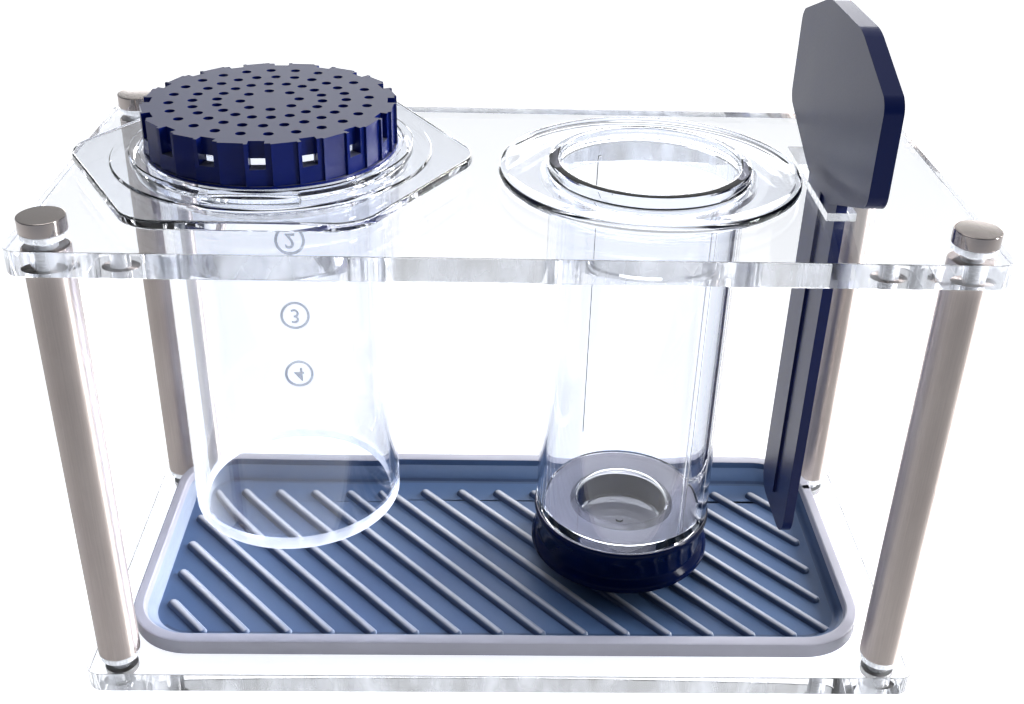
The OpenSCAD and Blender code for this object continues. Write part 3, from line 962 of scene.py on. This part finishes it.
tray = stacked("drip_tray_mat", (tray_x, 0), [
    tray_ring(4.9, 4.9, tray_foot), tray_ring(4.5, 4.5, tray_foot + 0.3),
    tray_ring(4.5, 4.5, 10.9), tray_ring(4.2, 4.2, 11.1),
    tray_ring(0.5, 0.5, 11.1), tray_ring(0.1, 0.1, 11.25),
    tray_ring(0, 0, 11.6), tray_ring(0, 0, tray_top - 0.7),
    tray_ring(0.15, 0.15, tray_top - 0.25), tray_ring(0.6, 0.6, tray_top),
    tray_ring(3.0, 3.3, tray_top), tray_ring(3.4, 3.8, tray_top - 0.3),
    tray_ring(3.6, 4.1, tray_top - 1.0), tray_ring(3.9, 4.5, 14.2),
    tray_ring(4.6, 6.0, 13.5), tray_ring(5.2, 8.0, 12.4),
    tray_ring(5.6, 9.0, 11.4), tray_ring(6.4, 9.8, tray_floor + 0.15),
    tray_ring(7.6, 10.8, tray_floor)], 14)
ridge_k, ridge_pitch, ridge_r, ridge_h = 0.9, 13.25, 1.9, 1.65
ridge_turn = math.atan(ridge_k)
bpy.ops.object.select_all(action="DESELECT")
bpy.ops.mesh.primitive_uv_sphere_add(segments=16, ring_count=8,
                                     radius=ridge_r * MM,
                                     rotation=(0, math.pi / 2, 0))
ridge_model = bpy.context.object
bpy.ops.object.transform_apply()
ridges = []
for line in range(-11, 12):
    start_x = 3.8 + line * ridge_pitch
    back_y = min(33, (start_x + 104) / ridge_k)
    front_y = max(-40, (start_x - 104) / ridge_k)
    if back_y - front_y < 6:
        continue
    run = (back_y - front_y) * math.hypot(1, ridge_k)
    ridge = copied(ridge_model, "ridge", 0, 0)
    for spot in ridge.data.vertices:
        if spot.co.x > 1e-7:
            spot.co.x += run * MM
        if spot.co.z < -1e-7:
            spot.co.z *= 0.3
    ridge.data.transform(
        Matrix.Translation(Vector((tray_x + start_x - ridge_k * back_y,
                                   back_y, tray_floor - 0.07)) * MM)
        @ Matrix.Rotation(ridge_turn - math.pi / 2, 4, "Z")
        @ Matrix.Diagonal((1, 1, ridge_h / ridge_r, 1)))
    ridges.append(ridge)
bpy.data.objects.remove(ridge_model)
gather(tray, *ridges)


def silicone(name, deep, pale, crest, roughness):
    """Grey silicone with painted light: flanks that face the window painted
    paler (painted light), the ridges' crests painted pale (painted highlight),
    flanks behind painted bluer (painted shade)."""
    made, pen = open_finish(name)
    dust = pen.noise(1700, 3)
    cloud = pen.noise(28, 2)
    height = pen.node("SeparateXYZ", None, {"Vector": pen.node(
        "TexCoord", out="Object")}, "Z")
    # painted highlight: faces higher above the floor, the ridges' crests, are
    # painted pale
    painted_crest_highlight = pen.node("ValToRGB", {"stops": [(0.35, grey(0)),
                                             (1.0, grey(1))]},
                      {"Fac": (height - (tray_floor + 0.9) * MM)
                       * (1 / (0.75 * MM))})
    lean = pen.node("VectorMath", {"operation": "DOT_PRODUCT"}, {
        0: pen.node("NewGeometry", out="Normal"), 1: (0.85, 0.52, 0)},
        "Value")
    # painted light on flanks facing the window, painted shade on flanks facing
    # away
    painted_window_light = pen.node("ValToRGB", {"stops": [(0.25, grey(0)),
                                            (0.75, grey(1))]}, {"Fac": lean})
    painted_flank_shade = pen.node("ValToRGB", {"stops": [(0.15, grey(0)),
                                            (0.8, grey(1))]},
                     {"Fac": lean * -1.0})
    shade = (cloud * 0.7 + dust * 0.3).blend(deep, pale)
    shade = (painted_crest_highlight * crest).blend(shade, grey(0.6, (0.95, 0.96, 1.05)))
    shade = (painted_window_light * 0.8).blend(shade, grey(0.36, (0.82, 0.95, 1.22)))
    shade = (painted_flank_shade * 0.6).blend(shade, grey(0.018, (0.3, 1.0, 3.6)))
    return close_finish(made, pen.node("BsdfPrincipled", None, {
        "Base Color": shade, "Roughness": dust * 0.1 + roughness,
        "IOR": 1.47, "Normal": pen.node("Bump", None, {
            "Height": dust, "Strength": 0.08, "Distance": 0.00008})}))


settle(tray, "drip_tray", "tray_silicone", silicone(
    "grey_tray_silicone", grey(0.06, (0.4, 1.05, 2.9)),
    grey(0.11, (0.65, 1.1, 2.0)), 0.0, 0.34), "drip_tray")
tray.data.materials.append(silicone(
    "grey_ridge_silicone", grey(0.05, (0.4, 0.95, 2.4)),
    grey(0.08, (0.6, 0.95, 1.8)), 0.9, 0.3))
# painted light: rim and outer band get a paler copy of the silicone; the
# darker interior copies are painted shade
made, pen = open_finish("rim_silicone_painted_light")
cloud = pen.noise(40, 3)
tray.data.materials.append(close_finish(made, pen.node(
    "BsdfPrincipled", None, {
        "Base Color": cloud.blend(grey(0.29, (0.95, 0.95, 1.14)),
                                  grey(0.42, (0.95, 0.95, 1.12))),
        "Roughness": cloud * 0.1 + 0.36})))
core_x, core_y = tray_l - tray_r, tray_w - tray_r
# rim and band faces take the painted-light copy; ridge faces take the copy
# with the painted crest highlight
for face in tray.data.polygons:
    x, y, z = face.center / MM
    x -= tray_x
    reach = math.hypot(max(abs(x) - core_x, 0), max(abs(y) - core_y, 0))
    if reach > tray_r - 3.9 or z > tray_top - 0.4:
        face.material_index = 2
    elif tray_floor + 0.02 < z < tray_floor + 1.8 and reach < tray_r - 8.5:
        face.material_index = 1
